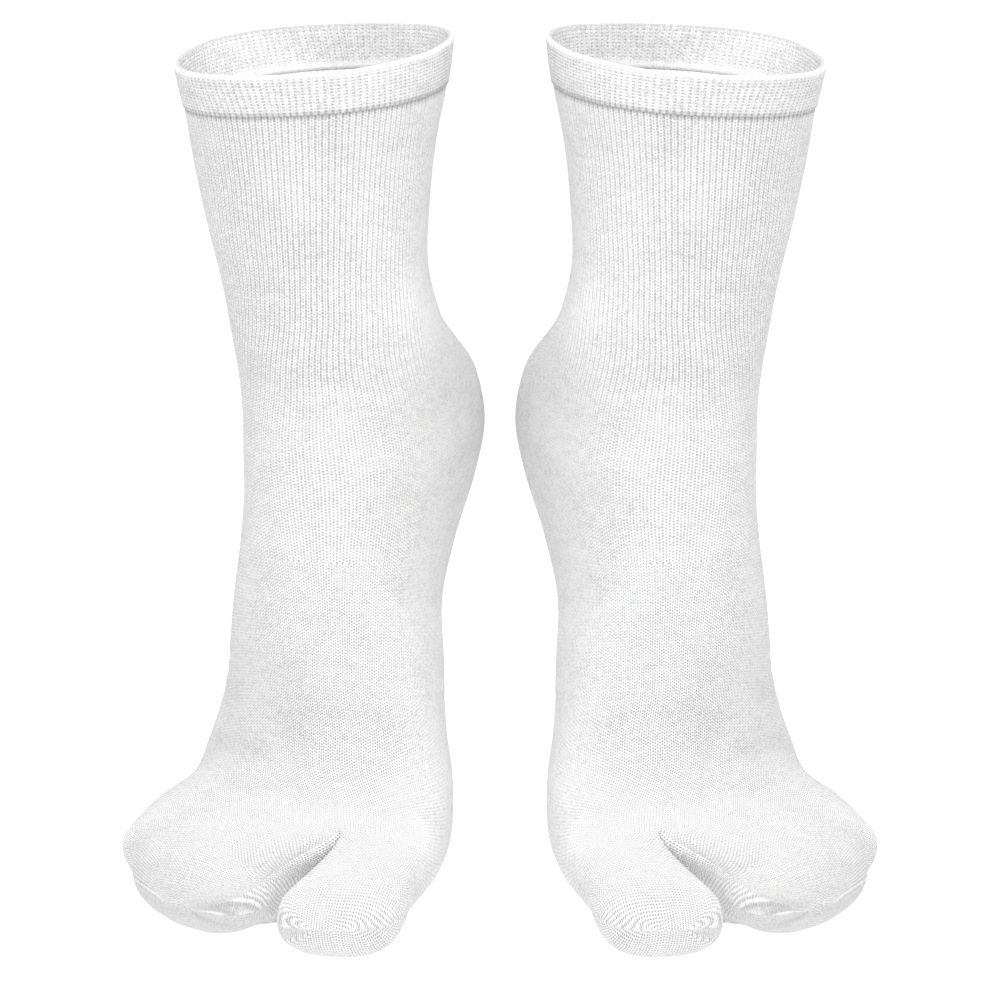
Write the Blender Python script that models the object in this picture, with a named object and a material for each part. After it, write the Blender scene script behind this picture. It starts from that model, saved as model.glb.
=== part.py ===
"""Pair of split-toe (tabi) crew socks, worn shape with no wearer: heels raised, toes turned out."""

import math

import bmesh
import bpy
import numpy as np

MM = 0.001

# The right sock is laid out round its ankle, in millimetres: f forward along the foot,
# s sideways with the big toe's side positive, u up from the floor under the toes.
TOE_OUT_DEG = 13.0  # how far each foot turns out from straight ahead
ANKLE_FROM_MIDDLE = 45.0  # from the pair's middle plane to each ankle

WALL = 1.4  # knitted tube
WELT_TALL = 12.0  # turned band round the cuff
WELT_PROUD = 0.5  # how far the band stands out from the leg
WELT_THICK = 2.0
WELT_ROUND = 0.9  # rounding of the band's top edge
SEAM_GAP = 0.3  # between the band and the leg below it

AROUND = 28  # points round the tube, a multiple of four
LEG_RINGS = 27  # rings from the band down to the toes' fork
WELT_RINGS = 3
POCKET_RINGS = 5
NOSE_RINGS = 3
WEB_POINTS = 6  # across the fork, between the toes

# A section of the tube: its front and back points, half widths to the inner and outer side,
# the sideways place of its middle, where along it the widest line lies (from the back),
# how far its front point sits to the inner side, squareness, how much its back narrows,
# how far its outer side is drawn back, the sideways tilt in degrees, and how far the sole is
# hollowed upwards under its middle.
TUBE_COLUMNS = (
    "front_f front_u back_f back_u inner outer side widest crest full pinch sweep tilt vault"
)
TUBE = {
    "rim": (40, 235, -50, 237.4, 37.2, 39.8, -9.3, 0.43, 0, 2.35, 0.00, 0, 3.4, 0),
    "welt": (39, 224.3, -48, 225, 36.2, 37.9, -7.6, 0.53, 0, 2.20, 0.02, 0, 3.7, 0),
    "calf": (37, 206, -45, 207, 34.3, 35.9, -7.4, 0.55, 0, 1.95, 0.06, 0, 4.9, 0),
    "shin": (36, 190, -41, 189, 33.2, 32.3, -7.0, 0.56, 0, 2.05, 0.12, 0, 4.5, 0),
    "ankle": (35, 174, -38, 171, 32.0, 31.0, -4.6, 0.57, 0, 2.05, 0.20, 0, 3.0, 0),
    "achilles": (35, 158, -42, 158, 33.0, 31.3, -2.2, 0.56, 0, 2.10, 0.24, 0, 1.5, 0),
    "malleoli": (35, 144, -58, 148, 33.0, 32.5, -1.0, 0.50, 0, 2.15, 0.20, 0, 0, 0),
    "heel_back": (36, 132, -75, 135, 32.5, 32.5, -1.0, 0.44, 0, 2.25, 0.08, 0, 0, 0),
    "heel": (37, 121, -81, 117, 32.0, 33.0, -1.0, 0.40, 1, 2.35, 0.00, 0, 0, 0),
    "heel_pad": (38, 109, -73, 99, 30.0, 32.5, -1.0, 0.40, 2, 2.35, 0.00, 0, 0, 0),
    "heel_low": (40, 98, -53, 83, 28.5, 31.5, -1.0, 0.44, 3, 2.30, 0.00, 0, 0, 0),
    "arch": (43, 86, -31, 70, 28.5, 31.0, -0.5, 0.47, 4, 2.25, 0.00, 0, 0, 0),
    "waist": (46, 73, -11, 54, 32.0, 31.0, 0.0, 0.48, 5, 2.30, 0.00, 2, 0, 0),
    "instep": (49, 61, 4, 37, 35.0, 32.7, 0.0, 0.46, 6, 2.43, 0.00, 9.5, 0, 0),
    "shaft": (51.5, 50, 16, 17.5, 39.4, 37.1, 0.0, 0.46, 8, 2.14, 0.00, 12, 0, 0),
    "ball": (55.5, 40, 33, 3.0, 41.9, 42.3, 0.0, 0.48, 9, 2.14, 0.00, 20.5, 0, 0),
    "toe_root": (62.9, 32, 56, 0, 32.4, 60.2, 9.7, 0.50, 5, 2.34, 0.00, 21.5, 0, 1),
    "fork": (73.7, 28.7, 79, 0, 22.1, 71.0, 17.6, 0.50, 0, 2.37, 0.00, 19.5, 0, 4),
}
VAULT_WIDE = 11.0  # half width of that hollow

# A section of a toe pocket: its middle, half widths, heights above and below the middle,
# the turn of the section in plan, and its squareness.
POCKET_COLUMNS = "f s u inner outer up down turn full"
BIG_TOE = {
    "root": (75, 28.5, 12.1, 11.5, 11.8, 11.7, 12.9, -6, 2.30),
    "joint": (83, 24.5, 12.0, 16.0, 16.6, 11.3, 12.6, -10, 2.43),
    "nail": (91.5, 23.2, 10.9, 16.1, 17.8, 11.0, 11.8, -10, 2.55),
}
SMALL_TOES = {
    "root": (62, -16.4, 13.8, 37.1, 35.5, 14.2, 14.0, 20.5, 2.28),
    "joint": (69, -20.1, 12.7, 29.4, 33.3, 14.7, 13.0, 21.5, 2.20),
    "nails": (77, -22.5, 10.4, 25.7, 26.4, 11.8, 11.5, 26.5, 2.02),
}
BIG_NOSE = (9.9, 2.6)  # length of the rounded end, and its squareness in plan
SMALL_NOSE = (10.9, 2.05)
WEB_EDGE_DEG = 65.0  # how far round a toe the fork's two ends lie
WEB_DEEP = 2.0  # how far the fork is hollowed between its ends
POCKET_BLEND = 18.0  # length over which a pocket takes its own section
WEB_BLEND = 7.0  # the same on the side that faces the other pocket

COTTON = (0.86, 0.86, 0.85, 1.0)
COTTON_ROUGHNESS = 0.9


def columns_of(rows, names):
    """{column name: values down the rows}"""
    columns = zip(names.split(), zip(*rows.values()))
    return {name: np.array(values, float) for name, values in columns}


def curve_through(at, values, wanted):
    """A smooth curve through the values, read at the wanted places."""
    step = np.diff(at)
    rise = np.diff(values) / step
    slope = np.concatenate(
        [
            rise[:1],
            (rise[:-1] * step[1:] + rise[1:] * step[:-1]) / (step[1:] + step[:-1]),
            rise[-1:],
        ]
    )
    i = np.clip(np.searchsorted(at, wanted, side="right") - 1, 0, len(at) - 2)
    x = (wanted - at[i]) / step[i]
    start = (1 + 2 * x) * (1 - x) ** 2 * values[i] + x * (1 - x) ** 2 * step[i] * slope[i]
    end = x * x * (3 - 2 * x) * values[i + 1] + x * x * (x - 1) * step[i] * slope[i + 1]
    return start + end


def distances(points):
    """Distance along a line of points, starting from nought."""
    return np.concatenate([[0.0], np.cumsum(np.linalg.norm(np.diff(points, axis=0), axis=1))])


def rounded(value, full):
    """A circle's sine or cosine drawn out towards a square's."""
    return math.copysign(abs(value) ** (2.0 / full), value)


def fade(x):
    x = min(max(x, 0.0), 1.0)
    return x * x * (3 - 2 * x)


def tube_ring(section):
    """Points round one section, from its front over the inner side to its back and on."""
    front = np.array([section["front_f"], section["front_u"]])
    back = np.array([section["back_f"], section["back_u"]])
    middle = back + (front - back) * section["widest"]
    points = []
    for i in range(AROUND):
        turn = 2 * math.pi * i / AROUND
        toward_front = rounded(math.cos(turn), section["full"])
        to_side = rounded(math.sin(turn), section["full"])
        reach = (front - middle) * toward_front if toward_front > 0 else (back - middle) * -toward_front
        width = to_side * (section["inner"] if to_side > 0 else section["outer"])
        narrowing = 1 - section["pinch"] * ((1 - math.cos(turn)) / 2) ** 1.5
        f, u = middle + reach
        s = section["side"] + width * narrowing + section["crest"] * max(math.cos(turn), 0) ** 1.5
        f -= section["sweep"] * max(-to_side, 0) ** 1.5
        u += width * math.tan(math.radians(section["tilt"]))
        if toward_front < 0:
            u += section["vault"] * math.exp(-((width / VAULT_WIDE) ** 2))
        points.append((f, s, u))
    return np.array(points)


def tube_rings(start, end, count):
    """Rings down the tube between two distances along it."""
    table = columns_of(TUBE, TUBE_COLUMNS)
    middles = np.stack(
        [table["front_f"] + table["back_f"], table["front_u"] + table["back_u"]], 1
    )
    at = distances(middles / 2)
    wanted = np.linspace(start, at[-1] if end is None else end, count)
    smooth = {name: curve_through(at, values, wanted) for name, values in table.items()}
    return [tube_ring({name: values[k] for name, values in smooth.items()}) for k in range(count)]


def pocket_rings(rows, nose, inner_side, start_ring):
    """Rings of one toe pocket, leaving the fork as start_ring, and the point that closes it."""
    nose_length, nose_full = nose
    table = columns_of(rows, POCKET_COLUMNS)
    at = distances(np.stack([table["f"], table["s"], table["u"]], 1))
    wanted = np.linspace(0, at[-1], POCKET_RINGS)
    smooth = {name: curve_through(at, values, wanted) for name, values in table.items()}
    middles = np.stack([smooth["f"], smooth["s"], smooth["u"]], 1)
    ahead = (middles[-1] - middles[-2]) / np.linalg.norm(middles[-1] - middles[-2])
    stages = [(k, middles[k], wanted[k], 1.0, 1.0) for k in range(1, POCKET_RINGS)]
    for k in range(1, NOSE_RINGS + 1):
        x = math.sin(math.pi / 2 * k / (NOSE_RINGS + 0.4))
        wide, tall = (1 - x**nose_full) ** (1 / nose_full), math.sqrt(1 - x * x)
        middle = middles[-1] + ahead * nose_length * x
        stages.append((POCKET_RINGS - 1, middle, wanted[-1] + nose_length * x, wide, tall))

    edge = math.radians(WEB_EDGE_DEG)
    arc = AROUND // 2
    rings = []
    for k, middle, gone, wide, tall in stages:
        section = {name: values[k] for name, values in smooth.items()}
        plan = math.radians(section["turn"])
        ring = []
        for i in range(arc + WEB_POINTS):
            if i <= arc:
                turn, across = -edge + (math.pi + 2 * edge) * i / arc, 0.0
            else:
                share = (i - arc) / WEB_POINTS
                turn, across = math.pi + edge + (math.pi - 2 * edge) * share, math.sin(math.pi * share)
            height = rounded(math.cos(turn), section["full"])
            width = rounded(math.sin(turn), section["full"]) * (1 if inner_side else -1)
            height *= tall * (section["up"] if height > 0 else section["down"])
            width *= wide * (section["inner"] if width > 0 else section["outer"])
            own = middle + (width * math.sin(plan), width * math.cos(plan), height)
            carried = start_ring[i] + (middle - middles[0]) * (1, 0, 1)
            share = fade(gone / (POCKET_BLEND + (WEB_BLEND - POCKET_BLEND) * across))
            ring.append(carried * (1 - share) + own * share)
        rings.append(np.array(ring))
    return rings, middles[-1] + ahead * nose_length


class Sheet:
    """Points and faces of a surface, facing out."""

    def __init__(self):
        self.points = []
        self.faces = []

    def add(self, points):
        first = len(self.points)
        self.points.extend(np.asarray(point, float) for point in points)
        return list(range(first, first + len(points)))

    def join(self, upper, lower, flip=False):
        """Faces between two closed rings of the same count."""
        count = len(upper)
        for i in range(count):
            j = (i + 1) % count
            face = (upper[i], lower[i], lower[j], upper[j])
            self.faces.append(face[::-1] if flip else face)

    def close(self, ring, point, flip=False):
        """A fan from a ring to one point."""
        tip = self.add([point])[0]
        for i, here in enumerate(ring):
            face = (here, tip, ring[(i + 1) % len(ring)])
            self.faces.append(face[::-1] if flip else face)


def sock_surface():
    """The outer surface from the leg's top edge to both toe pockets, and its top ring."""
    sheet = Sheet()
    rings = tube_rings(WELT_TALL, None, LEG_RINGS)
    down = rings[1] - rings[0]
    rings[0] = rings[0] + down / np.linalg.norm(down, axis=1)[:, None] * SEAM_GAP
    rings = [sheet.add(ring) for ring in rings]
    for upper, lower in zip(rings, rings[1:]):
        sheet.join(upper, lower)
    fork = rings[-1]
    half = AROUND // 2
    top, under = sheet.points[fork[0]], sheet.points[fork[half]]
    shares = [k / WEB_POINTS for k in range(1, WEB_POINTS)]
    web = sheet.add(
        [under + (top - under) * x - (WEB_DEEP * math.sin(math.pi * x), 0, 0) for x in shares]
    )
    for rows, nose, inner_side in ((BIG_TOE, BIG_NOSE, True), (SMALL_TOES, SMALL_NOSE, False)):
        around = fork[: half + 1] if inner_side else [fork[-i] for i in range(half + 1)]
        ring = around + web
        start = [sheet.points[i] for i in ring]
        following, tip = pocket_rings(rows, nose, inner_side, start)
        for points in following:
            lower = sheet.add(points)
            sheet.join(ring, lower, flip=not inner_side)
            ring = lower
        sheet.close(ring, tip, flip=not inner_side)
    return sheet, rings[0]


def normals_of(points, faces):
    """Unit normals at the points, averaged over the faces by size."""
    points = np.array(points)
    found = np.zeros_like(points)
    for face in faces:
        corners = points[list(face)]
        lean = np.cross(corners[2] - corners[0], corners[-1] - corners[1])
        if len(face) == 3:
            lean = np.cross(corners[1] - corners[0], corners[2] - corners[0])
        found[list(face)] += lean
    return found / np.linalg.norm(found, axis=1)[:, None]


def sock_wall():
    """The knitted tube as a wall, with its top edge, and the directions its top edge faces."""
    outside, top = sock_surface()
    normals = normals_of(outside.points, outside.faces)
    inner = outside.add(np.array(outside.points) - normals * WALL)
    shift = inner[0]
    outside.faces.extend(tuple(i + shift for i in reversed(face)) for face in list(outside.faces))
    outside.join([i + shift for i in top], top)
    return outside, normals[top]


def welt_band(edge_normals):
    """The turned band: one closed profile carried round the cuff, its lower edge facing the leg's."""
    rings = tube_rings(0.0, WELT_TALL, WELT_RINGS)
    grid = Sheet()
    rows = [grid.add(ring) for ring in rings]
    for upper, lower in zip(rows, rows[1:]):
        grid.join(upper, lower)
    normals = normals_of(grid.points, grid.faces)
    normals[rows[-1]] = edge_normals
    surface = np.array(grid.points)
    lining = WELT_PROUD - WELT_THICK
    top, top_normal = surface[rows[0]], normals[rows[0]]
    drop = (surface[rows[1]] - top) / np.linalg.norm(surface[rows[1]] - top, axis=1)[:, None]

    outer = [surface[row] + normals[row] * WELT_PROUD for row in rows]
    inner = [surface[row] + normals[row] * lining for row in rows]
    outer[0] = outer[0] + drop * WELT_ROUND
    inner[0] = inner[0] + drop * WELT_ROUND
    crest = [top + top_normal * (WELT_PROUD - WELT_ROUND * x) for x in (0.4, 1.6)]
    crest_down = [drop * WELT_ROUND * 0.15, drop * 0.0]
    profile = outer[::-1] + [crest[0] + crest_down[0], crest[1] + crest_down[1]] + inner
    band = Sheet()
    lines = [band.add(line) for line in profile]
    for here, following in zip(lines, lines[1:] + lines[:1]):
        band.join(following, here)
    return band


def standing(points, origin, mirrored):
    """From the foot's own directions to the pair's: +Z up, toes towards -Y, middle plane at X = 0."""
    points = np.array(points)
    turn = math.radians(TOE_OUT_DEG)
    f, s, u = points.T
    x = -ANKLE_FROM_MIDDLE - f * math.sin(turn) + s * math.cos(turn)
    y = -f * math.cos(turn) - s * math.sin(turn)
    placed = np.stack([x, y, u], 1) - origin
    if mirrored:
        placed[:, 0] *= -1
    return placed * MM


def cuff_middle():
    """The wearer holds the pair here: midway between the two cuffs, level with their rims."""
    rim = standing(tube_rings(0.0, WELT_TALL, 2)[0], np.zeros(3), False) / MM
    middle = (rim.min(0) + rim.max(0)) / 2
    return np.array([0.0, middle[1], middle[2]])


def cotton(name):
    material = bpy.data.materials.new(name)
    material.use_nodes = True
    shader = material.node_tree.nodes["Principled BSDF"]
    shader.inputs["Base Color"].default_value = COTTON
    shader.inputs["Roughness"].default_value = COTTON_ROUGHNESS
    return material


def add_solid(name, sheet, origin, mirrored):
    mesh = bpy.data.meshes.new(name)
    faces = [face[::-1] if mirrored else face for face in sheet.faces]
    mesh.from_pydata([tuple(p) for p in standing(sheet.points, origin, mirrored)], [], faces)
    solid = bmesh.new()
    solid.from_mesh(mesh)
    bmesh.ops.triangulate(solid, faces=solid.faces[:], quad_method="SHORT_EDGE")
    bmesh.ops.recalc_face_normals(solid, faces=solid.faces[:])
    solid.to_mesh(mesh)
    solid.free()
    mesh.materials.append(cotton(name + "_cotton"))
    body = bpy.data.objects.new(name, mesh)
    bpy.context.scene.collection.objects.link(body)


for old in list(bpy.data.objects):
    bpy.data.objects.remove(old, do_unlink=True)

held_at = cuff_middle()
wall, edge_normals = sock_wall()
band = welt_band(edge_normals)
for side, mirrored in (("right", False), ("left", True)):
    add_solid(side + "_sock", wall, held_at, mirrored)
    add_solid(side + "_welt", band, held_at, mirrored)
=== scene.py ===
import math

import bpy
import numpy as np
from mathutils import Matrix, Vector


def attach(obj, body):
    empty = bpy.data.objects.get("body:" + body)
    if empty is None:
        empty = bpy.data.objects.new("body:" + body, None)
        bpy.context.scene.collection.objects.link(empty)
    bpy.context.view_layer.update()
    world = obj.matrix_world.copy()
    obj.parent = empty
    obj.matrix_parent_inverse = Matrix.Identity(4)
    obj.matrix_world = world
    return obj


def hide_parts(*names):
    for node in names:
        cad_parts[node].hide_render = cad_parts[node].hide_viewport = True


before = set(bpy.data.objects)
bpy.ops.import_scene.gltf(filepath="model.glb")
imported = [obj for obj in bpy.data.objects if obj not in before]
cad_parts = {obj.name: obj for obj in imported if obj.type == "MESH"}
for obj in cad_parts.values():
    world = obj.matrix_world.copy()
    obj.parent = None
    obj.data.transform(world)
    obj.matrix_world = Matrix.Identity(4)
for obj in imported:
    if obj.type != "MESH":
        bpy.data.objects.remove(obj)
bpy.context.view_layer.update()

mm = 0.001

# lengths in millimetres, in the right foot's own directions:
# f forward along the foot, s sideways (big toe's side positive), u up from the floor under the toes
stance = {
    "toeOutDeg": 13.0,
    "ankleFromMiddle": 45.0,
    "rimPoints": 28,  # points of the rim that the pair's origin was measured from
}

sock = {
    "wall": 1.4,
    "weltTall": 12.0,
    "seamGap": 0.3,
    "around": 168,
    "tubeRings": 190,
    "webPoints": 28,
    "pocketRings": 22,
    "noseRings": 24,
    "noseEnd": 0.975,  # share of the nose where the toe seam closes it
    "webEdgeDeg": 65.0,
    "webDeep": 2.0,
    "vaultWide": 11.0,
    "pocketBlend": 18.0,
    "webBlend": 7.0,
    "forkSmoothing": 90,
    "forkSoft": 15.0,
    "crotchSharp": 13.0,  # how near the crotch the form is left as it is
    "seamWide": 0.75,  # half width of the toe seam
    "evenBy": 25.0,  # distance into a toe over which its stitch columns even out
    "sway": 0.16,  # height of the slow unevenness of the whole cloth
    "flatSpare": 1.02,  # cloth that the flat sheet has for each part of the worked form
}

tubeColumns = (
    "front_f front_u back_f back_u inner outer side widest crest full pinch sweep tilt vault"
)
tube = {
    "rim": (40, 235, -50, 237.4, 37.2, 39.8, -9.3, 0.43, 0, 2.35, 0.00, 0, 3.4, 0),
    "welt": (39, 224.3, -48, 225, 36.2, 37.9, -7.6, 0.53, 0, 2.20, 0.02, 0, 3.7, 0),
    "calf": (37, 206, -45, 207, 34.3, 35.9, -7.4, 0.55, 0, 1.95, 0.06, 0, 4.9, 0),
    "shin": (36, 190, -41, 189, 33.2, 32.3, -7.0, 0.56, 0, 2.05, 0.12, 0, 4.5, 0),
    "ankle": (35, 174, -38, 171, 32.0, 31.0, -4.6, 0.57, 0, 2.05, 0.20, 0, 3.0, 0),
    "achilles": (35, 158, -42, 158, 33.0, 31.3, -2.2, 0.56, 0, 2.10, 0.24, 0, 1.5, 0),
    "malleoli": (35, 144, -58, 148, 33.0, 32.5, -1.0, 0.50, 0, 2.15, 0.20, 0, 0, 0),
    "heelBack": (36, 132, -75, 135, 32.5, 32.5, -1.0, 0.44, 0, 2.25, 0.08, 0, 0, 0),
    "heel": (37, 121, -81, 117, 32.0, 33.0, -1.0, 0.40, 1, 2.35, 0.00, 0, 0, 0),
    "heelPad": (38, 109, -73, 99, 30.0, 32.5, -1.0, 0.40, 2, 2.35, 0.00, 0, 0, 0),
    "heelLow": (40, 98, -53, 83, 28.5, 31.5, -1.0, 0.44, 3, 2.30, 0.00, 0, 0, 0),
    "arch": (43, 86, -31, 70, 28.5, 31.0, -0.5, 0.47, 4, 2.25, 0.00, 0, 0, 0),
    "waist": (46, 73, -11, 54, 32.0, 31.0, 0.0, 0.48, 5, 2.30, 0.00, 2, 0, 0),
    "instep": (49, 61, 4, 37, 35.0, 32.7, 0.0, 0.46, 6, 2.43, 0.00, 9.5, 0, 0),
    "shaft": (51.5, 50, 16, 17.5, 39.4, 37.1, 0.0, 0.46, 8, 2.14, 0.00, 12, 0, 0),
    "ball": (55.5, 40, 33, 3.0, 41.9, 42.3, 0.0, 0.48, 9, 2.14, 0.00, 20.5, 0, 0),
    "toeRoot": (62.9, 32, 56, 0, 32.4, 60.2, 9.7, 0.50, 5, 2.34, 0.00, 21.5, 0, 1),
    "fork": (73.7, 28.7, 79, 0, 22.1, 71.0, 17.6, 0.50, 0, 2.37, 0.00, 19.5, 0, 4),
}
pocketColumns = "f s u inner outer up down turn full"
bigToe = {
    "rows": {
        "root": (75, 28.5, 12.1, 11.5, 11.8, 11.7, 12.9, -6, 2.30),
        "joint": (83, 24.5, 12.0, 16.0, 16.6, 11.3, 12.6, -10, 2.43),
        "nail": (91.5, 23.2, 10.9, 16.1, 17.8, 11.0, 11.8, -10, 2.55),
    },
    "noseLength": 9.9,
    "noseFull": 2.6,
    "innerSide": True,
    "seamProud": 0.45,
    "bumps": (),
}
smallToes = {
    "rows": {
        "root": (62, -16.4, 13.8, 37.1, 35.5, 14.2, 14.0, 20.5, 2.28),
        "joint": (69, -20.1, 12.7, 29.4, 33.3, 14.7, 13.0, 21.5, 2.20),
        "nails": (77, -22.5, 10.4, 25.7, 26.4, 11.8, 11.5, 26.5, 2.02),
    },
    "noseLength": 10.9,
    "noseFull": 2.05,
    "innerSide": False,
    "seamProud": 0.35,
    # the soft swells over the four toes: place across, half width, height
    "bumps": ((21, 6.5, 0.8), (8, 6.0, 0.9), (-5, 5.5, 0.9), (-18, 5.5, 1.0)),
}

# soft folds in the tube: distance down it, degrees round from the front (inner side positive),
# half length in degrees, half width, depth (troughs are negative), lean per degree
foldColumns = "along at half wide deep lean"
folds = {
    "outerBend": (197, -80, 30, 1.6, -0.45, 0.02),
    "outerBendLow": (203, -86, 26, 1.4, -0.40, 0.04),
    "outerBendHigh": (190, -92, 24, 1.7, -0.35, -0.02),
    "ballRoll": (207, -60, 26, 2.2, 0.35, 0.05),
    "innerBend": (196, 82, 26, 1.8, -0.35, -0.03),
    "innerBendLow": (204, 92, 22, 1.5, -0.30, -0.05),
    "achillesHigh": (74, 178, 34, 2.0, -0.45, 0.02),
    "achillesMiddle": (80, 186, 30, 1.8, -0.50, -0.02),
    "achillesLow": (87, 176, 28, 2.2, -0.40, 0.03),
    "ankleFront": (92, 12, 34, 3.5, -0.30, 0.02),
    "ankleFrontLow": (103, -16, 30, 3.0, -0.25, -0.03),
    "soleArch": (168, 170, 36, 2.4, -0.35, 0.02),
    "soleArchLow": (178, 188, 32, 2.0, -0.30, -0.02),
    "toeCrease": (251, -38, 50, 5.0, -0.70, 0.27),
}

knit = {
    "wales": 132,  # stitch columns round the leg
    "footWales": 152,  # and round the foot
    "moreFrom": 158,  # distance down the tube where they are added
    "hangAt": -53.0,  # place across the pair that the leg's columns hang straight at
    "hangEnds": (144, 165),  # heights between which they take to it
    "legCourse": 0.88,  # height of a stitch row
    "footCourse": 0.85,
    "toeCourse": 0.88,
    "toesFrom": 240,  # distance down the tube where the toes' finer look begins
    "toesBlend": 30,
    "ribEnds": (78, 118),  # distances down the tube where the ribbed leg turns into the plain foot
    "heelHalf": 24,  # stitch columns each way from the back that are knitted finer
    "heelFrom": 62,
    "heelTo": 186,
}


def columnsOf(rows, names):
    return {name: np.array(values, float) for name, values in zip(names.split(), zip(*rows.values()))}


def curveThrough(at, values, wanted):
    step = np.diff(at)
    rise = np.diff(values) / step
    middle = (rise[:-1] * step[1:] + rise[1:] * step[:-1]) / (step[1:] + step[:-1])
    slope = np.concatenate([rise[:1], middle, rise[-1:]])
    i = np.clip(np.searchsorted(at, wanted, side="right") - 1, 0, len(at) - 2)
    x = (wanted - at[i]) / step[i]
    start = (1 + 2 * x) * (1 - x) ** 2 * values[i] + x * (1 - x) ** 2 * step[i] * slope[i]
    end = x * x * (3 - 2 * x) * values[i + 1] + x * x * (x - 1) * step[i] * slope[i + 1]
    return start + end


def distances(points):
    return np.concatenate([[0.0], np.cumsum(np.linalg.norm(np.diff(points, axis=0), axis=1))])


def rounded(value, full):
    return np.sign(value) * np.abs(value) ** (2.0 / full)


def fade(x):
    x = np.clip(x, 0.0, 1.0)
    return x * x * (3 - 2 * x)


def tubeTable():
    table = columnsOf(tube, tubeColumns)
    middles = np.stack([table["front_f"] + table["back_f"], table["front_u"] + table["back_u"]], 1)
    return table, distances(middles / 2)


def tubeRings(wanted, around):
    # rings at the wanted distances, each from the back over the outer side to the front and on
    table, at = tubeTable()
    row = {name: curveThrough(at, values, wanted)[:, None] for name, values in table.items()}
    turn = math.pi + 2 * math.pi * np.arange(around)[None, :] / around
    ahead, aside = rounded(np.cos(turn), row["full"]), rounded(np.sin(turn), row["full"])
    middleF = row["back_f"] + (row["front_f"] - row["back_f"]) * row["widest"]
    middleU = row["back_u"] + (row["front_u"] - row["back_u"]) * row["widest"]
    front = ahead > 0
    f = middleF + np.where(front, (row["front_f"] - middleF) * ahead, (middleF - row["back_f"]) * ahead)
    u = middleU + np.where(front, (row["front_u"] - middleU) * ahead, (middleU - row["back_u"]) * ahead)
    width = aside * np.where(aside > 0, row["inner"], row["outer"])
    narrowing = 1 - row["pinch"] * ((1 - np.cos(turn)) / 2) ** 1.5
    s = row["side"] + width * narrowing + row["crest"] * np.maximum(np.cos(turn), 0) ** 1.5
    f = f - row["sweep"] * np.maximum(-aside, 0) ** 1.5
    u = u + width * np.tan(np.radians(row["tilt"]))
    u = u + row["vault"] * np.exp(-((width / sock["vaultWide"]) ** 2)) * (ahead < 0)
    return np.stack([f, s, u], 2)


def standing(points, origin):
    turn = math.radians(stance["toeOutDeg"])
    f, s, u = points.T
    x = -stance["ankleFromMiddle"] - f * math.sin(turn) + s * math.cos(turn)
    y = -f * math.cos(turn) - s * math.sin(turn)
    return np.stack([x, y, u], 1) - origin


def cuffMiddle():
    rim = standing(tubeRings(np.array([0.0]), stance["rimPoints"])[0], np.zeros(3))
    middle = (rim.min(0) + rim.max(0)) / 2
    return np.array([0.0, middle[1], middle[2]])


class Cloth:
    # points, faces and what is known at them
    def __init__(self):
        self.points, self.faces, self.corners, self.facts = [], [], [], {}
        self.count = 0

    def add(self, points, **facts):
        first = self.count
        self.count += len(points)
        self.points.append(np.asarray(points, float))
        for name in ("along", "ribbed", "seam", "nose"):
            self.facts.setdefault(name, []).append(np.broadcast_to(facts.get(name, 0.0), len(points)))
        return np.arange(first, self.count)

    def join(self, upper, lower, upperUv, lowerUv, flip=False):
        # upper and lower are rings of indices; a uv row gives the two ends of every step round its ring
        upperNext, lowerNext = np.roll(upper, -1), np.roll(lower, -1)
        quads = np.stack([upper, lower, lowerNext, upperNext], 1)
        uv = np.stack([upperUv[0], lowerUv[0], lowerUv[1], upperUv[1]], 1)
        self.faces.append(quads[:, ::-1] if flip else quads)
        self.corners.append(uv[:, ::-1] if flip else uv)

    def settle(self):
        self.points = np.concatenate(self.points)
        self.faces = np.concatenate(self.faces)
        self.corners = np.concatenate(self.corners)
        self.facts = {name: np.concatenate(values) for name, values in self.facts.items()}


def ringQuads(count, upper, lower):
    # faces between two rings of a stack of equal rings
    index = np.arange(count)
    after = np.roll(index, -1)
    return np.stack([index + upper * count, index + lower * count,
                     after + lower * count, after + upper * count], 1)


def ringLengths(points):
    return np.linalg.norm(np.roll(points, -1, 0) - points, axis=1)


def rowUv(ring, start, span):
    # stitch columns spread evenly by length round a closed ring
    gone = np.concatenate([[0.0], np.cumsum(ringLengths(ring))])
    return start + span * gone / gone[-1]


def stepEnds(columns, rows, nextRows):
    # the two ends of every step round a ring, as stitch column and stitch row
    return np.stack([columns[:-1], rows], 1), np.stack([columns[1:], nextRows], 1)


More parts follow.
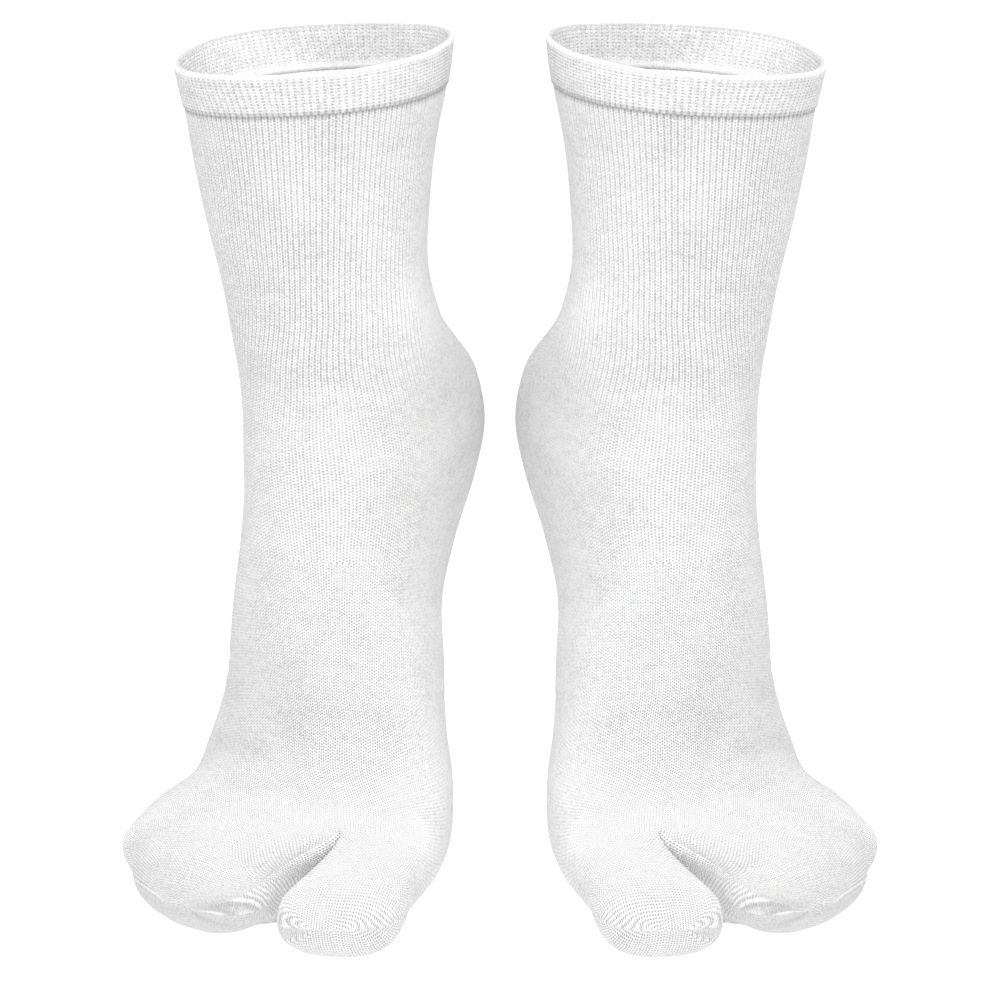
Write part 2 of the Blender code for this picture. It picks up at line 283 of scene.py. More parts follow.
def pocket(cloth, toe, ring, startUv, startV, startAlong):
    table = columnsOf(toe["rows"], pocketColumns)
    at = distances(np.stack([table["f"], table["s"], table["u"]], 1))
    wanted = np.linspace(0, at[-1], sock["pocketRings"])
    row = {name: curveThrough(at, values, wanted) for name, values in table.items()}
    middles = np.stack([row["f"], row["s"], row["u"]], 1)
    ahead = (middles[-1] - middles[-2]) / np.linalg.norm(middles[-1] - middles[-2])
    stages = [(k, middles[k], wanted[k], 1.0, 1.0, 0.0) for k in range(1, sock["pocketRings"])]
    for k in range(1, sock["noseRings"] + 1):
        share = math.sin(math.pi / 2 * k / sock["noseRings"])
        x = share * sock["noseEnd"]
        wide = (1 - x ** toe["noseFull"]) ** (1 / toe["noseFull"])
        tall = math.sqrt(max(1 - share * share, 0.0))
        gone = wanted[-1] + toe["noseLength"] * x
        stages.append((-1, middles[-1] + ahead * toe["noseLength"] * x, gone, wide, tall, share))

    edge = math.radians(sock["webEdgeDeg"])
    arc, web = sock["around"] // 2, sock["webPoints"]
    count = arc + web
    i = np.arange(count)
    share = np.clip((i - arc) / web, 0, 1)
    turn = np.where(
        i <= arc, -edge + (math.pi + 2 * edge) * i / arc, math.pi + edge + (math.pi - 2 * edge) * share
    )
    across = np.where(i <= arc, 0.0, np.sin(math.pi * share))
    start = np.concatenate(cloth.points)[ring]
    previous, v = start, np.full(count, startV)
    uv, onNose = stepEnds(startUv, v, v), False
    wrapped = i >= arc + web / 2
    overTop = (i < arc / 2 - 0.5) | wrapped
    # the points at the middle of the top and of the underside
    centres = [round(arc * (edge + way) / (math.pi + 2 * edge)) for way in (0, math.pi)]

    def noseColumns(ring, columns):
        # over the end the stitches keep their width, so the columns run out along both its sides
        gone = np.concatenate([[0.0], np.cumsum(ringLengths(ring))])
        ends = []
        for reached in (gone[:-1], gone[1:]):
            sides = [
                columns[c] + (reached - gone[c] - wrapped * gone[-1] * (c == centres[0])) * perLength
                for c in centres
            ]
            ends.append(np.where(overTop, sides[0], sides[1]))
        return ends

    for k, middle, gone, wide, tall, nose in stages:
        section = {name: values[k] for name, values in row.items()}
        plan = math.radians(section["turn"])
        height, width = rounded(np.cos(turn), section["full"]), rounded(np.sin(turn), section["full"])
        if not toe["innerSide"]:
            width = -width
        height = height * tall * np.where(height > 0, section["up"], section["down"])
        width = width * wide * np.where(width > 0, section["inner"], section["outer"])
        direction = np.array([math.sin(plan), math.cos(plan), 0.0])
        own = middle + width[:, None] * direction + height[:, None] * np.array([0, 0, 1.0])
        carried = start + (middle - middles[0]) * (1, 0, 1)
        taken = fade(gone / (sock["pocketBlend"] + (sock["webBlend"] - sock["pocketBlend"]) * across))
        points = carried * (1 - taken)[:, None] + own * taken[:, None]
        swell = np.zeros(count)
        for place, half, tallness in toe["bumps"]:
            swell += tallness * np.exp(-(((width - place) / half) ** 2))
        top = np.clip(height / section["up"] + 0.55, 0, 1) * fade(gone / 10)
        points[:, 2] += swell * top * tall
        points += ahead * (swell * nose * 0.9)[:, None]
        seam = np.exp(-((height / sock["seamWide"]) ** 2)) * fade((nose - 0.35) / 0.35)
        v = v + np.linalg.norm(points - previous, axis=1) / knit["toeCourse"]
        if nose == 0:
            even = rowUv(points, startUv[0], startUv[-1] - startUv[0])
            columns = startUv + (even - startUv) * fade(gone / sock["evenBy"])
            lowerUv = stepEnds(columns, v, np.roll(v, -1))
            perLength = (columns[-1] - columns[0]) / ringLengths(points).sum()
        else:
            if not onNose:
                left, right = noseColumns(previous, columns)
                uv = np.stack([left, uv[0][:, 1]], 1), np.stack([right, uv[1][:, 1]], 1)
                onNose = True
            left, right = noseColumns(points, columns)
            lowerUv = np.stack([left, v], 1), np.stack([right, np.roll(v, -1)], 1)
        if nose >= 1:  # the last ring is closed on itself by the toe seam
            partner = (arc - i) % count
            kept = np.minimum(i, partner)
            fresh = np.unique(kept)
            made = cloth.add(points[fresh], along=startAlong + gone, seam=seam[fresh], nose=1.0)
            lower = made[np.searchsorted(fresh, kept)]
        else:
            lower = cloth.add(points, along=startAlong + gone, seam=seam, nose=nose)
        cloth.join(ring, lower, uv, lowerUv, flip=not toe["innerSide"])
        ring, uv, previous = lower, lowerUv, points


def neighbours(faces, count):
    a = np.concatenate([faces[:, 0], faces[:, 1], faces[:, 2], faces[:, 3]])
    b = np.concatenate([faces[:, 1], faces[:, 2], faces[:, 3], faces[:, 0]])
    return np.concatenate([a, b]), np.concatenate([b, a]), count


def smoothed(points, faces, rounds, weight):
    a, b, count = neighbours(faces, len(points))
    many = np.bincount(a, minlength=count)[:, None]
    for _ in range(rounds):
        mean = np.stack([np.bincount(a, points[b, axis], count) for axis in range(3)], 1) / many
        points = points + (mean - points) * weight[:, None]
    return points


def normalsOf(points, faces):
    corner = points[faces]
    lean = np.cross(corner[:, 2] - corner[:, 0], corner[:, 3] - corner[:, 1])
    found = np.zeros_like(points)
    for axis in range(3):
        for k in range(4):
            found[:, axis] += np.bincount(faces[:, k], lean[:, axis], len(points))
    return found / np.maximum(np.linalg.norm(found, axis=1), 1e-12)[:, None]


def areaOf(points, faces):
    corner = points[faces]
    one = np.cross(corner[:, 1] - corner[:, 0], corner[:, 2] - corner[:, 0])
    two = np.cross(corner[:, 2] - corner[:, 0], corner[:, 3] - corner[:, 0])
    return (np.linalg.norm(one, axis=1) + np.linalg.norm(two, axis=1)).sum() / 2


def stitchRows(wanted, rings):
    # stitch rows counted down the front of the tube
    front = rings[:, sock["around"] // 2]
    gone = distances(front)
    ribbed = 1 - fade((wanted - knit["ribEnds"][0]) / (knit["ribEnds"][1] - knit["ribEnds"][0]))
    course = knit["footCourse"] + (knit["legCourse"] - knit["footCourse"]) * ribbed
    return np.concatenate([[0.0], np.cumsum(np.diff(gone) / course[1:])]), ribbed


def waleRow(ring, wales):
    # stitch columns round one ring of the tube, set so that they hang straight down the front of the leg,
    # and the share of the way round from the back
    share = rowUv(ring, 0.0, 1.0)
    half = sock["around"] // 2
    front = np.arange(half - half // 3, half + half // 3)
    x = standing(ring, np.zeros(3))[:, 0]
    straight = np.interp(knit["hangAt"], x[front], share[front])
    onFront = share[half]
    leg = fade((ring[half, 2] - knit["hangEnds"][0]) / (knit["hangEnds"][1] - knit["hangEnds"][0]))
    return wales * (share - onFront - (straight - onFront) * leg), share


def heelRows(wanted, v):
    # distances between which the back is knitted finer, and the stitch row that it starts at
    start = v[np.searchsorted(wanted, knit["heelFrom"])]
    return knit["heelFrom"], knit["heelTo"], start


def outerForm():
    _, at = tubeTable()
    wanted = np.linspace(sock["weltTall"], at[-1], sock["tubeRings"])
    rings = tubeRings(wanted, sock["around"])
    down = rings[1] - rings[0]
    rings[0] += down / np.linalg.norm(down, axis=1)[:, None] * sock["seamGap"]
    v, ribbed = stitchRows(wanted, rings)
    cloth = Cloth()
    made = [cloth.add(ring, along=a, ribbed=r) for ring, a, r in zip(rings, wanted, ribbed)]
    kept = heelRows(wanted, v)
    for k in range(len(made) - 1):
        wales = knit["wales"] if wanted[k] < knit["moreFrom"] else knit["footWales"]
        ends = []
        for j in (k, k + 1):
            columns, share = waleRow(rings[j], wales)
            row = np.full(sock["around"], v[j])
            if kept[0] < wanted[k] < kept[1]:
                atBack = np.minimum(share, 1 - share) < knit["heelHalf"] / knit["wales"]
                row = np.where((atBack[:-1] & atBack[1:]), 2 * v[j] - kept[2], row)
            ends.append(stepEnds(columns, row, row))
        cloth.join(made[k], made[k + 1], ends[0], ends[1])

    half, web = sock["around"] // 2, sock["webPoints"]
    fork = made[-1]
    points = rings[-1]
    top, under = points[half], points[0]
    shares = np.arange(1, web)[:, None] / web
    hollow = np.concatenate([sock["webDeep"] * np.sin(math.pi * shares), 0 * shares, 0 * shares], 1)
    made = cloth.add(under + (top - under) * shares - hollow, along=wanted[-1])
    forkRow, _ = waleRow(rings[-1], knit["footWales"])
    frontU = forkRow[half]
    # the big toe's ring runs from the front over the inner side to the back, the other the other way
    innerRing = np.concatenate([np.roll(fork, -half)[: half + 1], made])
    outerRing = np.concatenate([fork[: half + 1][::-1], made])
    for toe, ring, arcU in (
        (bigToe, innerRing, forkRow[half:]),
        (smallToes, outerRing, forkRow[: half + 1][::-1]),
    ):
        # the fork gets as many columns as fit, in whole columns round the pocket
        forkColumns = knit["footWales"] * np.linalg.norm(top - under) / ringLengths(points).sum()
        wales = round(abs(arcU[-1] - arcU[0]) + forkColumns)
        end = frontU + wales if toe["innerSide"] else frontU - wales
        webU = arcU[-1] + (end - arcU[-1]) * np.arange(1, web + 1) / web
        pocket(cloth, toe, ring, np.concatenate([arcU, webU]), v[-1], wanted[-1])
    cloth.settle()
    return cloth, rings


def folded(cloth, rings):
    # sets the soft folds and an uneven surface into the form, along its normals
    points, faces = cloth.points, cloth.faces
    along = cloth.facts["along"]
    tubeCount = rings.shape[0] * rings.shape[1]
    forkAt = along[tubeCount - 1]
    nearFork = np.exp(-(((along - forkAt) / sock["forkSoft"]) ** 2))
    crotch = points[tubeCount - rings.shape[1] // 2]
    toCrotch = np.linalg.norm((points - crotch) * (1, 1, 0.6), axis=1)
    weight = 0.5 * np.clip(nearFork + 0.03, 0, 1) * np.clip((along - 14) / 20, 0, 1)
    weight *= (1 - cloth.facts["nose"]) * (1 - 0.97 * np.exp(-((toCrotch / sock["crotchSharp"]) ** 2)))
    points = smoothed(points, faces, sock["forkSmoothing"], weight)
    normals = normalsOf(points, faces)
    lift = np.zeros(len(points))
    turn = np.full(len(points), 1e3)
    turn[:tubeCount] = np.tile(np.arange(rings.shape[1]) * 360 / rings.shape[1] - 180, rings.shape[0])
    for values in folds.values():
        fold = dict(zip(foldColumns.split(), values))
        off = (turn - fold["at"] + 180) % 360 - 180
        reach = np.where(turn < 500, fade(1 - np.abs(off) / fold["half"]), 0)
        centre = fold["along"] + fold["lean"] * off + 0.8 * np.sin(off * 0.13 + fold["along"])
        lift += fold["deep"] * reach * np.exp(-(((along - centre) / fold["wide"]) ** 2))
    x, y, z = points.T
    sway = np.sin(x / 9 + 1.3 * np.sin(z / 23)) * np.cos(y / 11 + 0.4)
    sway = sway * np.sin(z / 13 + 0.9 * np.sin(y / 17))
    lift += sock["sway"] * sway * np.clip((along - 20) / 30, 0, 1) * (1 - cloth.facts["nose"])
    lift += bigToe["seamProud"] * cloth.facts["seam"]
    return points + normals * lift[:, None]


def shellOf(points, faces, top):
    # the outside, the lining and the edge between them
    normals = normalsOf(points, faces)
    inner = points - normals * sock["wall"]
    shift = len(points)
    edge = np.stack([top + shift, top, np.roll(top, -1), np.roll(top, -1) + shift], 1)
    return np.concatenate([points, inner]), np.concatenate([faces, faces[:, ::-1] + shift, edge]), normals


weltForm = {
    "around": 168,
    "thick": 2.0,
    "proud": 0.5,
    "edge": 1.0,  # radius of the rolled top
    "sideSteps": 12,
    "rollSteps": 9,
    "hem": 0.4,  # radius of the lower corners
    "lap": 0.5,  # how far the outer face hangs over the seam
    "lineDown": 1.6,  # the stitched line inside, below the top
    "lineDeep": 0.15,
    "lineWide": 0.45,
    "bulge": 0.12,  # how far the outer side swells between its edges
    "uneven": 0.22,
    "wavyDown": 6.0,  # how far below the top the rim's waviness reaches
    "rowsTall": 13.2,  # stitch rows on the band
}


def weltBand(edgeNormals):
    form = weltForm
    steps = form["sideSteps"] + 1
    wanted = np.linspace(0.0, sock["weltTall"], steps)
    rings = tubeRings(wanted, form["around"])
    quads = np.concatenate([ringQuads(form["around"], k, k + 1) for k in range(steps - 1)])
    normals = normalsOf(rings.reshape(-1, 3), quads).reshape(rings.shape)
    blend = fade((wanted - sock["weltTall"] * 0.4) / (sock["weltTall"] * 0.6))[:, None, None]
    normals = normals * (1 - blend) + edgeNormals * blend
    normals /= np.linalg.norm(normals, axis=2)[:, :, None]
    turn = np.arange(form["around"]) * 2 * math.pi / form["around"]
    wander = form["uneven"] * (np.sin(2 * turn + 0.7) + 0.6 * np.sin(5 * turn) + 0.4 * np.sin(9 * turn + 2))

    def at(distance, out):
        # a point of every column: distance below the top line, and out from the leg's surface
        place = np.clip(distance / sock["weltTall"] * (steps - 1), 0, steps - 1.001)
        k = int(place)
        share = place - k
        base = rings[k] * (1 - share) + rings[k + 1] * share
        lean = normals[k] * (1 - share) + normals[k + 1] * share
        up = (rings[0] - rings[1]) / np.linalg.norm(rings[0] - rings[1], axis=1)[:, None]
        base = base - up * max(distance - sock["weltTall"], 0)
        upper = fade(1 - distance / form["wavyDown"])
        return base + lean * out + up * (wander * 0.5 * upper)[:, None] + lean * (wander * 0.5)[:, None]

    lining = form["proud"] - form["thick"]
    centre = form["proud"] - form["edge"]
    profile = []  # distance below the top, out from the leg, and the stitch row there
    low = sock["weltTall"] + form["lap"] - form["hem"]
    for k in range(steps):
        d = low + (form["edge"] - low) * k / (steps - 1)
        bulge = form["bulge"] * math.sin(math.pi * k / (steps - 1))
        profile.append((d, form["proud"] + bulge, d))
    for k in range(1, form["rollSteps"]):
        a = math.pi * k / form["rollSteps"]
        profile.append((form["edge"] * (1 - math.sin(a)), centre + form["edge"] * math.cos(a), 1 - a))
    for k in range(2 * steps):
        d = form["edge"] + (sock["weltTall"] - form["hem"] - form["edge"]) * k / (2 * steps - 1)
        line = form["lineDeep"] * math.exp(-(((d - form["lineDown"]) / form["lineWide"]) ** 2))
        profile.append((d, lining + line, -2.2 - d))
    profile.append((sock["weltTall"], lining + form["hem"], -13.6))
    profile.append((sock["weltTall"], 0.0, -14.6))
    profile.append((sock["weltTall"] + form["lap"], form["proud"] * 0.4, -15.0))
    count, rowsHere = form["around"], len(profile)
    points = np.concatenate([at(d, out) for d, out, _ in profile])
    faces, corners = [], []
    wales = rowUv(rings[0], 0.0, knit["wales"])
    rowHeight = sock["weltTall"] / form["rowsTall"]
    for k in range(rowsHere):
        after = (k + 1) % rowsHere
        here, there = profile[k][2] / rowHeight, profile[after][2] / rowHeight
        if after == 0:  # the lip under the band carries on from its outer side
            here = there + 1
        faces.append(ringQuads(count, after, k))
        low, high = np.full(count, here), np.full(count, there)
        corners.append(np.stack([np.stack([wales[:-1], high], 1), np.stack([wales[:-1], low], 1),
                                 np.stack([wales[1:], low], 1), np.stack([wales[1:], high], 1)], 1))
    return points, np.concatenate(faces), np.concatenate(corners)


def meshPiece(name, points, faces, corners, facts, origin, mirrored, material):
    placed = standing(points, origin) * mm
    if mirrored:
        placed = placed * (-1, 1, 1)
    corner = placed[faces]
    volume = np.einsum("ij,ij->i", corner[:, 0], np.cross(corner[:, 1], corner[:, 2])).sum()
    volume += np.einsum("ij,ij->i", corner[:, 0], np.cross(corner[:, 2], corner[:, 3])).sum()
    if volume < 0:
        faces, corners = faces[:, ::-1], corners[:, ::-1]
    mesh = bpy.data.meshes.new(name)
    mesh.vertices.add(len(placed))
    mesh.vertices.foreach_set("co", placed.ravel())
    mesh.loops.add(faces.size)
    mesh.loops.foreach_set("vertex_index", faces.ravel())
    mesh.polygons.add(len(faces))
    mesh.polygons.foreach_set("loop_start", np.arange(0, faces.size, 4))
    mesh.polygons.foreach_set("use_smooth", np.ones(len(faces), bool))
    layer = mesh.uv_layers.new(name="knit")
    layer.uv.foreach_set("vector", corners.reshape(-1, 2).ravel())
    for fact, values in facts.items():
        held = mesh.attributes.new(fact, "FLOAT", "POINT")
        held.data.foreach_set("value", values)
    mesh.update(calc_edges=True)
    mesh.validate()
    mesh.materials.append(material)
    piece = bpy.data.objects.new(name, mesh)
    bpy.context.scene.collection.objects.link(piece)
    return piece


class Wire:
    # a node's output, used in sums like a number
    def __init__(self, tree, output):
        self.tree, self.output = tree, output

    def math(self, operation, *values):
        return mathNode(self.tree, operation, self, *values)

    def __add__(self, other):
        return self.math("ADD", other)

    def __sub__(self, other):
        return self.math("SUBTRACT", other)

    def __rsub__(self, other):
        return mathNode(self.tree, "SUBTRACT", other, self)

    def __mul__(self, other):
        return self.math("MULTIPLY", other)

    def __pow__(self, other):
        return self.math("POWER", other)

    __radd__ = __add__
    __rmul__ = __mul__


def plug(tree, value, socket):
    if isinstance(value, Wire):
        tree.links.new(value.output, socket)
    else:
        socket.default_value = value


def mathNode(tree, operation, *values):
    node = tree.nodes.new("ShaderNodeMath")
    node.operation = operation
    for value, socket in zip(values, node.inputs):
        plug(tree, value, socket)
    return Wire(tree, node.outputs[0])


def addNode(tree, kind, settings, values, output=0):
    node = tree.nodes.new(kind)
    for name, value in settings.items():
        setattr(node, name, value)
    for name, value in values.items():
        plug(tree, value, node.inputs[name])
    return Wire(tree, node.outputs[output])


def mixColours(tree, share, first, second):
    return addNode(tree, "ShaderNodeMix", {"data_type": "RGBA"}, {0: share, 6: first, 7: second}, 2)


cotton = {
    "white": (0.96, 0.96, 0.96, 1.0),
    "shadow": (0.52, 0.52, 0.52, 1.0),  # down between the stitches
    "legGrooveShade": 0.44,  # how far painted shade darkens the grooves between the leg's ribs
    "rowGapShade": 0.16,  # painted shade between one row and the next
    "footHoleShade": 0.92,  # how far painted shade darkens the small holes of the foot
    # painted shade in the gaps between the band's stitches
    "bandGapShade": 0.62,
    "evenGrey": 0.04,  # how far the yarn is darkened everywhere
    "bandGrey": 0.2,  # how far the whole band is darkened, which is knitted closer
    "outerSideShade": 0.08,  # painted shade greying the leg's outer side, away from the light
    "toeGrey": 0.08,  # how far the yarn is darkened over the toes
    # places across, in metres from the pair's middle: where the painted shade in the leg's rib grooves
    # grows and fades again, where all darkening is faint on the inner side that the light falls on, and
    # where painted shade greys the outer side
    "ribShadeGrows": (0.026, 0.050),
    "ribShadeFades": (0.066, 0.086),
    "innerLitSide": (0.018, 0.034),
    "outerShadeFrom": (0.055, 0.09),
    "columnWander": 0.14,  # how far the stitch columns stray, in columns
    "rowWander": 0.16,  # and the rows, in rows
    "fuzz": 1.15,  # how far the loose fibres lighten and darken
    "stitchDeep": 0.35,  # millimetres of relief
    "streak": 0.10,  # lighter and darker rows of yarn
    "cloud": 0.22,  # soft lighter and darker patches
    "rimLine": 1.1,  # the thin shaded line along the top of the rim
    "stitchSpread": 0.24,  # from stitch to stitch
    "underBand": 0.6,  # the shaded line where the band ends on the leg
    "gloss": 0.25,
    "sheen": 0.12,
}


def smoothStep(wire, low, high):
    ends = {"Value": wire, "From Min": low, "From Max": high, "To Min": 0.0, "To Max": 1.0}
    return addNode(wire.tree, "ShaderNodeMapRange", {"interpolation_type": "SMOOTHSTEP"}, ends)


def noiseAt(place, scale, stretch=(1, 1, 1), detail=2.0, rough=0.5):
    tree = place.tree
    stretched = addNode(tree, "ShaderNodeVectorMath", {"operation": "MULTIPLY"}, {0: place, 1: stretch})
    values = {"Vector": stretched, "Scale": scale, "Detail": detail, "Roughness": rough}
    return addNode(tree, "ShaderNodeTexNoise", {}, values)


def stitchesAt(place):
    # u counts stitch columns and v stitch rows, both a little uneven
    tree = place.tree
    uv = addNode(tree, "ShaderNodeUVMap", {"uv_map": "knit"}, {})
    u = addNode(tree, "ShaderNodeSeparateXYZ", {}, {0: uv}, "X")
    v = addNode(tree, "ShaderNodeSeparateXYZ", {}, {0: uv}, "Y")
    u = u + (noiseAt(place, 130.0, detail=1.0) - 0.5) * cotton["columnWander"]
    v = v + (noiseAt(place, 150.0, (1.0, 1.1, 0.9), 1.0) - 0.5) * cotton["rowWander"]
    column = (u.math("FRACT") - 0.5).math("ABSOLUTE") * 2.0  # 0 within a stitch column, 1 between two
    rise = v + column * 0.5
    which = addNode(tree, "ShaderNodeCombineXYZ", {}, {0: u.math("FLOOR"), 1: rise.math("FLOOR"), 2: 0.0})
    each = addNode(tree, "ShaderNodeTexWhiteNoise", {"noise_dimensions": "3D"}, {"Vector": which})
    return {
        "place": place,
        "row": v,
        "column": column,
        "leg": 1.0 - (column * 2.0 - 1.0) ** 2.0,  # the two legs of a stitch
        "gap": (rise * (2 * math.pi)).math("COSINE") * 0.5 + 0.5,  # 1 between two rows
        "between": smoothStep(column, 0.55, 0.98),
        "middle": 1.0 - smoothStep(column, 0.0, 0.4),
        "each": each - 0.5,
        "fibre": noiseAt(place, 2300.0, (1.0, 1.0, 0.75), 3.0, 0.7),
    }


def bandShade(stitch):
    # how dark the band is and how high it stands: painted shade in the short dash-shaped gaps of its
    # stitches, only a thin shaded line on the rolled rim, and a shaded lower edge
    row, gap, between, fibre = (stitch[name] for name in ("row", "gap", "between", "fibre"))
    onBand = smoothStep((row + 0.8).math("ABSOLUTE"), 1.0, 3.2) * smoothStep(row, -14.5, -12.0)
    dash = smoothStep(stitch["column"], 0.25, 0.8) * (gap ** 2.0) * onBand
    dash = dash * (smoothStep(row, -3.0, 0.0) * 0.35 + 0.65)
    rimLine = (1.0 - smoothStep((row + 1.5).math("ABSOLUTE"), 0.8, 1.4)) * (between * 0.5 + 0.7)
    dark = (dash + stitch["middle"] * (1.0 - gap) * onBand * 0.45) * cotton["bandGapShade"]
    dark = dark + onBand * cotton["bandGrey"] + rimLine * cotton["rimLine"]
    lower = smoothStep(row, 11.7, 12.8) * (between * 0.8 + fibre)
    lower = lower + smoothStep(row, 12.6, 13.1) * (between * 0.6 + 0.1)
    height = stitch["leg"] * onBand * 0.4 + (1.0 - dash) * 0.9 + fibre * 0.35
    return dark + lower * cotton["underBand"], height


def sockShade(stitch):
    # the same for the sock: ribs down the leg, small holes over the foot and the toes
    place = stitch["place"]
    tree = place.tree
    gap, between, middle, fibre = (stitch[name] for name in ("gap", "between", "middle", "fibre"))
    ribbed, seam, lining, toes = (
        addNode(tree, "ShaderNodeAttribute", {"attribute_name": fact}, {}, "Fac")
        for fact in ("ribbed", "seam", "lining", "toes")
    )
    across = addNode(tree, "ShaderNodeSeparateXYZ", {}, {0: place}, "X")
    # painted shade in the rib grooves, growing and fading with the place across the leg
    ribShadeAcross = smoothStep(across, *cotton["ribShadeGrows"]) * (1.0 - smoothStep(across, *cotton["ribShadeFades"]))
    # painted shade: the grooves between the ribs, the middles of the ribbed stitches, the gaps between rows
    # and the small holes are darkened as if shaded
    groove = between * ribbed
    hole = (between + middle).math("MINIMUM", 1.0) * (gap ** 2.0)
    dark = (groove + middle * ribbed * 0.95) * (ribShadeAcross * 0.6 + 0.4) * (0.6 + gap * 0.7)
    dark = dark * cotton["legGrooveShade"] + (gap * 2.0 - toes * 1.5) * cotton["rowGapShade"] * 0.5
    dark = dark + hole * (cotton["footHoleShade"] * (1.0 - ribbed * 0.7) * (1.0 + toes * 0.9))
    # painted light: all darkening is fainter on the inner side, which the light falls on
    dark = dark * (smoothStep(across, *cotton["innerLitSide"]) * 0.7 + 0.3)
    dark = dark * (1.0 - seam * 0.7) * (1.0 - lining * 0.8)
    underBand = (1.0 - smoothStep(stitch["row"], 0.9, 2.3)) * (1.0 - lining)
    dark = dark + underBand * (between * 0.8 + fibre) * cotton["underBand"]
    # painted shade greys the leg's outer side, away from the light
    outer = smoothStep(across, *cotton["outerShadeFrom"]) * ribbed
    dark = dark + outer * cotton["outerSideShade"] + toes * cotton["toeGrey"]
    height = stitch["leg"] * (0.6 - ribbed * 0.25 - toes * 0.25) - hole * (0.9 - ribbed * 0.55)
    height = height + (1.0 - groove) * 0.8 + fibre * 0.3 + stitch["each"] * 0.18
    return dark, height


def cottonKnit(name, shade):
    material = bpy.data.materials.new(name)
    material.use_nodes = True
    tree = material.node_tree
    shader = tree.nodes["Principled BSDF"]

    # place in the cloth, the same on both socks
    place = addNode(tree, "ShaderNodeTexCoord", {}, {}, "Object")
    place = addNode(tree, "ShaderNodeVectorMath", {"operation": "ABSOLUTE"}, {0: place})
    rows = noiseAt(place, 24.0, (1.0, 1.0, 7.5), 3.0, 0.6)
    cloudy = noiseAt(place, 60.0, (1.0, 1.0, 1.6), 2.0, 0.55)
    stitch = stitchesAt(place)
    dark, height = shade(stitch)
    dark = dark + stitch["each"] * cotton["stitchSpread"] + (0.5 - rows) * cotton["streak"] * 2.0
    dark = dark + (0.5 - cloudy) * cotton["cloud"] * 2.0 + (0.5 - stitch["fibre"]) * 2.0 * cotton["fuzz"]
    dark = (dark + cotton["evenGrey"]).math("MAXIMUM", 0.0)
    colour = mixColours(tree, dark, cotton["white"], cotton["shadow"])
    plug(tree, colour, shader.inputs["Base Color"])
    plug(tree, 0.86 + stitch["fibre"] * 0.1, shader.inputs["Roughness"])
    shader.inputs["Specular IOR Level"].default_value = cotton["gloss"]
    shader.inputs["Sheen Weight"].default_value = cotton["sheen"]
    shader.inputs["Sheen Roughness"].default_value = 0.5
    relief = {"Strength": 0.8, "Distance": cotton["stitchDeep"] * mm, "Height": height}
    plug(tree, addNode(tree, "ShaderNodeBump", {}, relief), shader.inputs["Normal"])
    return material


def buildPair():
    origin = cuffMiddle()
    cloth, rings = outerForm()
    points = folded(cloth, rings)
    top = np.arange(sock["around"])
    shell, faces, normals = shellOf(points, cloth.faces, top)
    edgeUv = np.zeros((len(top), 4, 2))
    edgeUv[:, :, 0] = np.stack([top, top, top + 1, top + 1], 1) * knit["wales"] / sock["around"]
    corners = np.concatenate([cloth.corners, cloth.corners[:, ::-1], edgeUv])
    facts = {name: np.tile(cloth.facts[name], 2) for name in ("ribbed", "seam")}
    facts["lining"] = np.repeat([0.0, 1.0], len(points))
    facts["toes"] = np.tile(fade((cloth.facts["along"] - knit["toesFrom"]) / knit["toesBlend"]), 2)
    area = areaOf(points, cloth.faces)
    print("sock", len(faces) * 2, "triangles, cloth", round(area / 100, 1), "square cm")

    bandPoints, bandFaces, bandCorners = weltBand(normals[: sock["around"]])
    bandArea = areaOf(bandPoints, bandFaces)
    print("band", len(bandFaces) * 2, "triangles, cloth", round(bandArea / 100, 1), "square cm")

    girth = float(ringLengths(rings[0]).sum())
    for side, mirrored in (("right", False), ("left", True)):
        body = meshPiece(side + "SockKnit", shell, faces, corners, facts, origin, mirrored,
                         cottonKnit(side + "SockCotton", sockShade))
        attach(body, "root")
        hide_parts(side + "_sock")
        band = meshPiece(side + "WeltKnit", bandPoints, bandFaces, bandCorners, {}, origin, mirrored,
                         cottonKnit(side + "WeltCotton", bandShade))
        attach(band, "root")
        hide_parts(side + "_welt")
    return origin


studio = {
    "target": 104.0,  # height above the floor that the camera looks at, mm
    "distance": 1100.0,
    "elevationDeg": 15.0,
    "lens": 134.6,
    "floorRadius": 6.0,  # metres
    "floorTop": -1.4,  # just under the toes, mm
    "floorGlow": 0.80,
    "floorWhite": 0.35,
    "world": 0.69,
    # how far each light stands in front of the pair and above its middle, and how wide it is, in metres
    "lights": {
        "keyLight": {"front": 0.6, "above": 0.55, "size": 0.4, "watts": 0.9},
        "topLight": {"front": 0.25, "above": 1.2, "size": 0.9, "watts": 9.8},
        "frontLight": {"front": 1.5, "above": 0.3, "size": 0.9, "watts": 0.7},
    },
}


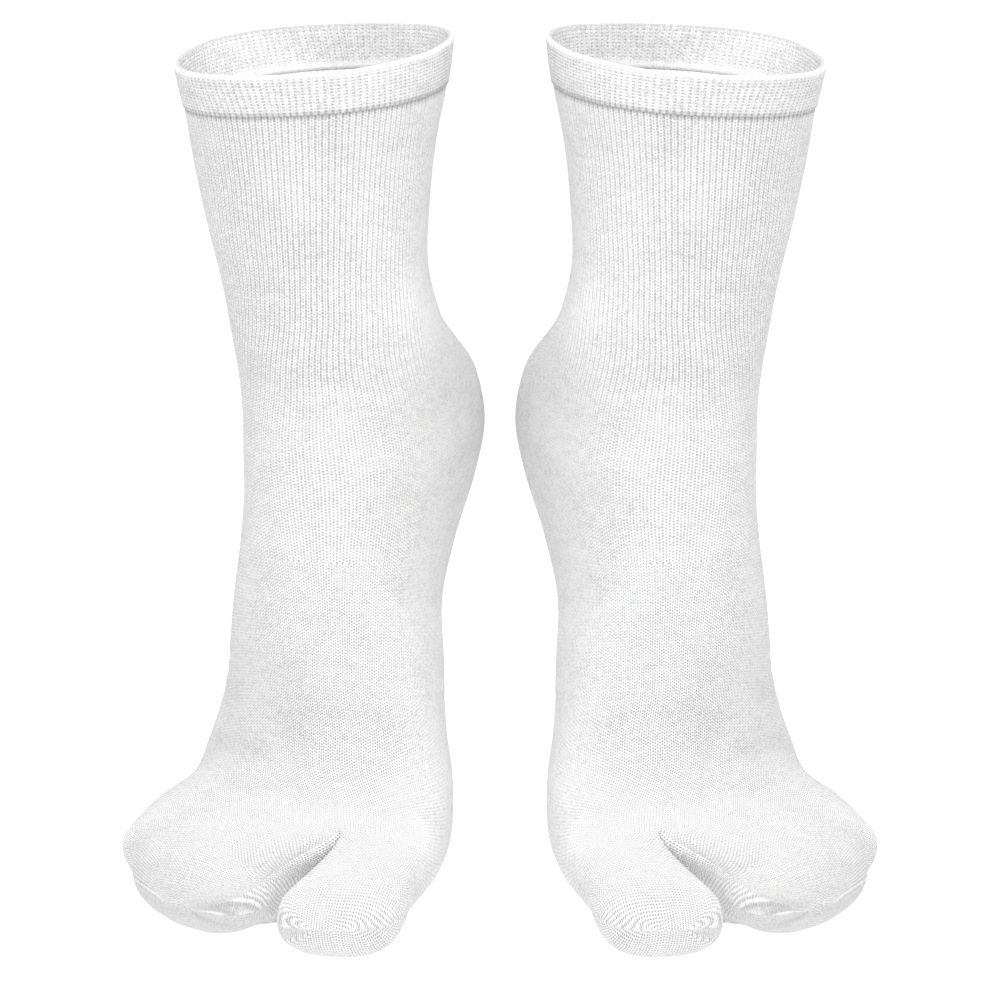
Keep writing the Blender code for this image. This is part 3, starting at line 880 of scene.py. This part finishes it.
def stageFloor(origin):
    floorAt = (0, 0, (studio["floorTop"] - origin[2]) * mm)
    bpy.ops.mesh.primitive_circle_add(
        vertices=96, radius=studio["floorRadius"], fill_type="NGON", location=floorAt
    )
    floor = bpy.context.object
    floor.name = "studioFloor"
    material = bpy.data.materials.new("studioWhite")
    material.use_nodes = True
    shader = material.node_tree.nodes["Principled BSDF"]
    shader.inputs["Base Color"].default_value = (studio["floorWhite"],) * 3 + (1,)
    shader.inputs["Roughness"].default_value = 1.0
    shader.inputs["Specular IOR Level"].default_value = 0.0
    shader.inputs["Emission Color"].default_value = (1, 1, 1, 1)
    shader.inputs["Emission Strength"].default_value = studio["floorGlow"]
    floor.data.materials.append(material)


def areaLight(name, place, target, size, watts):
    data = bpy.data.lights.new(name, "AREA")
    data.shape = "DISK"
    data.size = size
    data.energy = watts
    lamp = bpy.data.objects.new(name, data)
    lamp.location = place
    lamp.rotation_euler = (Vector(target) - Vector(place)).to_track_quat("-Z", "Y").to_euler()
    bpy.context.scene.collection.objects.link(lamp)


def studioLight(target):
    _, y, z = target
    for name, light in studio["lights"].items():
        place = (0.0, y - light["front"], z + light["above"])
        areaLight(name, place, target, light["size"], light["watts"])
    world = bpy.data.worlds.new("paleStudio")
    world.use_nodes = True
    back = world.node_tree.nodes["Background"]
    back.inputs["Color"].default_value = (1, 1, 1, 1)
    back.inputs["Strength"].default_value = studio["world"]
    bpy.context.scene.world = world


def studioCamera(target):
    data = bpy.data.cameras.new("studioCamera")
    data.lens = studio["lens"]
    data.sensor_width = 36
    camera = bpy.data.objects.new("studioCamera", data)
    tilt = math.radians(studio["elevationDeg"])
    back = Vector((0, -math.cos(tilt), math.sin(tilt)))
    camera.location = Vector(target) + back * studio["distance"] * mm
    camera.rotation_euler = (-back).to_track_quat("-Z", "Y").to_euler()
    bpy.context.scene.collection.objects.link(camera)
    bpy.context.scene.camera = camera


origin = buildPair()
print("pair built")
target = ((np.array([0, 0, studio["target"]]) - origin) * mm).tolist()
stageFloor(origin)
studioLight(target)
studioCamera(target)
bpy.context.scene.view_settings.view_transform = "Standard"
print("studio set")
